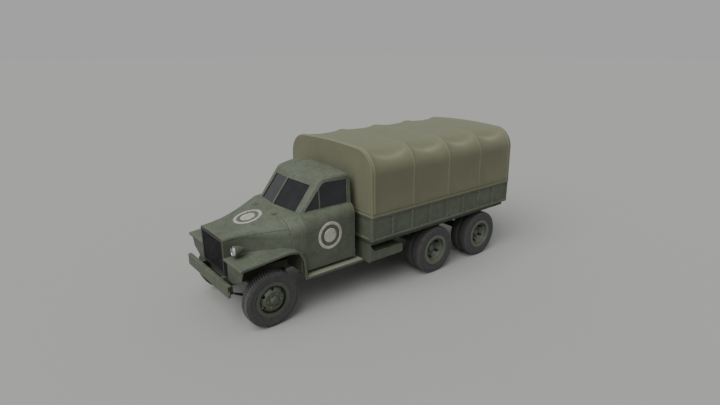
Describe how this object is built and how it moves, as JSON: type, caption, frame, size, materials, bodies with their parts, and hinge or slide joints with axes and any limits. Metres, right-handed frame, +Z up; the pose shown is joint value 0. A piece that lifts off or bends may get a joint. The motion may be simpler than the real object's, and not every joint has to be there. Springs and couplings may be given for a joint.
{
  "type": "military cargo truck",
  "caption": "Six-wheel-drive military cargo truck with a steel cab, ribbed cargo body under a hooped canvas tilt, dual-tyred rear bogie, opening doors, hood and tailgate",
  "frame": {"origin": "on the ground under the middle of the truck's overall length and width", "axes": "+X forward, +Y to the truck's left, +Z up"},
  "size_m": [6.139, 2.482, 2.6278],
  "materials": {
    "body_paint": "matt olive drab paint on steel sheet",
    "chassis_paint": "matt dark olive paint on forged and rolled steel, dusty",
    "wheel_paint": "matt olive paint on pressed steel discs",
    "engine_enamel": "oily grey-green enamel",
    "grille_black": "matt near-black paint",
    "tyre_rubber": "worn black rubber, a little dusty",
    "window_glass": "clear flat glass, dark against the cab",
    "lamp_glass": "clear fluted lamp glass over a bright reflector",
    "tail_lamp_red": "red lamp glass in a painted cup",
    "seat_cloth": "olive duck cloth over padding",
    "wheel_rim_black": "black hard rubber on a steel core",
    "bow_wood": "bent hardwood bows, olive stained",
    "canvas": "weathered olive-khaki canvas"
  },
  "bodies": {
    "chassis": {"frame": "chassis_paint", "cross_members": "chassis_paint", "cargo_sills": "chassis_paint", "cargo_beams": "chassis_paint", "front_bumper": "body_paint", "front_axle": "chassis_paint", "front_springs": "chassis_paint", "bogie_springs": "chassis_paint", "mid_axle": "chassis_paint", "rear_axle": "chassis_paint", "drive_line": "chassis_paint", "engine_block": "engine_enamel", "radiator_grille": "grille_black", "hood_sides": "body_paint", "fenders": "body_paint", "running_boards": "body_paint", "side_tanks": "body_paint", "headlamps": "body_paint", "headlamp_lenses": "lamp_glass", "cab_cowl": "body_paint", "cab_roof": "body_paint", "cab_back": "body_paint", "cab_floor": "body_paint", "cab_glass": "window_glass", "dashboard": "body_paint", "seat_cushion": "seat_cloth", "seat_back": "seat_cloth", "steering_wheel": "wheel_rim_black", "cargo_floor": "chassis_paint", "cargo_sides": "body_paint", "cargo_front_wall": "body_paint", "tilt_bows": "bow_wood", "canvas_cover": "canvas", "tail_lamps": "tail_lamp_red"},
    "hood": {"hood": "body_paint"},
    "tailgate": {"tailgate": "body_paint"},
    "door_left": {"door_left": "body_paint", "door_glass_left": "window_glass"},
    "door_right": {"door_right": "body_paint", "door_glass_right": "window_glass"},
    "knuckle_left": {"steering_knuckle_left": "chassis_paint"},
    "knuckle_right": {"steering_knuckle_right": "chassis_paint"},
    "track_rod": {"tie_rod": "chassis_paint"},
    "front_wheel_left": {"front_wheel_left": "wheel_paint", "front_tyre_left": "tyre_rubber"},
    "front_wheel_right": {"front_wheel_right": "wheel_paint", "front_tyre_right": "tyre_rubber"},
    "mid_wheels_left": {"mid_wheels_left": "wheel_paint", "mid_tyres_left": "tyre_rubber"},
    "mid_wheels_right": {"mid_wheels_right": "wheel_paint", "mid_tyres_right": "tyre_rubber"},
    "rear_wheels_left": {"rear_wheels_left": "wheel_paint", "rear_tyres_left": "tyre_rubber"},
    "rear_wheels_right": {"rear_wheels_right": "wheel_paint", "rear_tyres_right": "tyre_rubber"}
  },
  "joints": [
    {"name": "steer_left", "type": "hinge", "parent": "chassis", "child": "knuckle_left", "pos_m": [2.4205, 0.7, 0.463], "axis": [0, 0, 1], "range_deg": [-28, 28]},
    {"name": "steer_right", "type": "hinge", "parent": "chassis", "child": "knuckle_right", "pos_m": [2.4205, -0.7, 0.463], "axis": [0, 0, 1], "range_deg": [-28, 28]},
    {"name": "track_rod_pivot", "type": "hinge", "parent": "knuckle_left", "child": "track_rod", "pos_m": [2.2155, 0.7, 0.577], "axis": [0, 0, 1], "range_deg": [-28, 28]},
    {"name": "front_wheel_spin_left", "type": "hinge", "parent": "knuckle_left", "child": "front_wheel_left", "pos_m": [2.4205, 0.865, 0.463], "axis": [0, 1, 0], "continuous": true},
    {"name": "front_wheel_spin_right", "type": "hinge", "parent": "knuckle_right", "child": "front_wheel_right", "pos_m": [2.4205, -0.865, 0.463], "axis": [0, 1, 0], "continuous": true},
    {"name": "mid_wheel_spin_left", "type": "hinge", "parent": "chassis", "child": "mid_wheels_left", "pos_m": [-0.9615, 0.995, 0.463], "axis": [0, 1, 0], "continuous": true},
    {"name": "mid_wheel_spin_right", "type": "hinge", "parent": "chassis", "child": "mid_wheels_right", "pos_m": [-0.9615, -0.995, 0.463], "axis": [0, 1, 0], "continuous": true},
    {"name": "rear_wheel_spin_left", "type": "hinge", "parent": "chassis", "child": "rear_wheels_left", "pos_m": [-2.3015, 0.995, 0.463], "axis": [0, 1, 0], "continuous": true},
    {"name": "rear_wheel_spin_right", "type": "hinge", "parent": "chassis", "child": "rear_wheels_right", "pos_m": [-2.3015, -0.995, 0.463], "axis": [0, 1, 0], "continuous": true},
    {"name": "door_hinge_left", "type": "hinge", "parent": "chassis", "child": "door_left", "pos_m": [1.7565, 0.93, 1.3], "axis": [0, 0, -1], "range_deg": [0, 70]},
    {"name": "door_hinge_right", "type": "hinge", "parent": "chassis", "child": "door_right", "pos_m": [1.7565, -0.93, 1.3], "axis": [0, 0, 1], "range_deg": [0, 70]},
    {"name": "hood_hinge", "type": "hinge", "parent": "chassis", "child": "hood", "pos_m": [1.9875, 0, 1.618], "axis": [0, -1, 0], "range_deg": [0, 55]},
    {"name": "tailgate_hinge", "type": "hinge", "parent": "chassis", "child": "tailgate", "pos_m": [-3.0575, 0, 1.036], "axis": [0, -1, 0], "range_deg": [0, 170]}
  ],
  "couplings": [
    {"joint": "steer_right", "follows": "steer_left", "ratio": 1},
    {"joint": "track_rod_pivot", "follows": "steer_left", "ratio": -1}
  ]
}
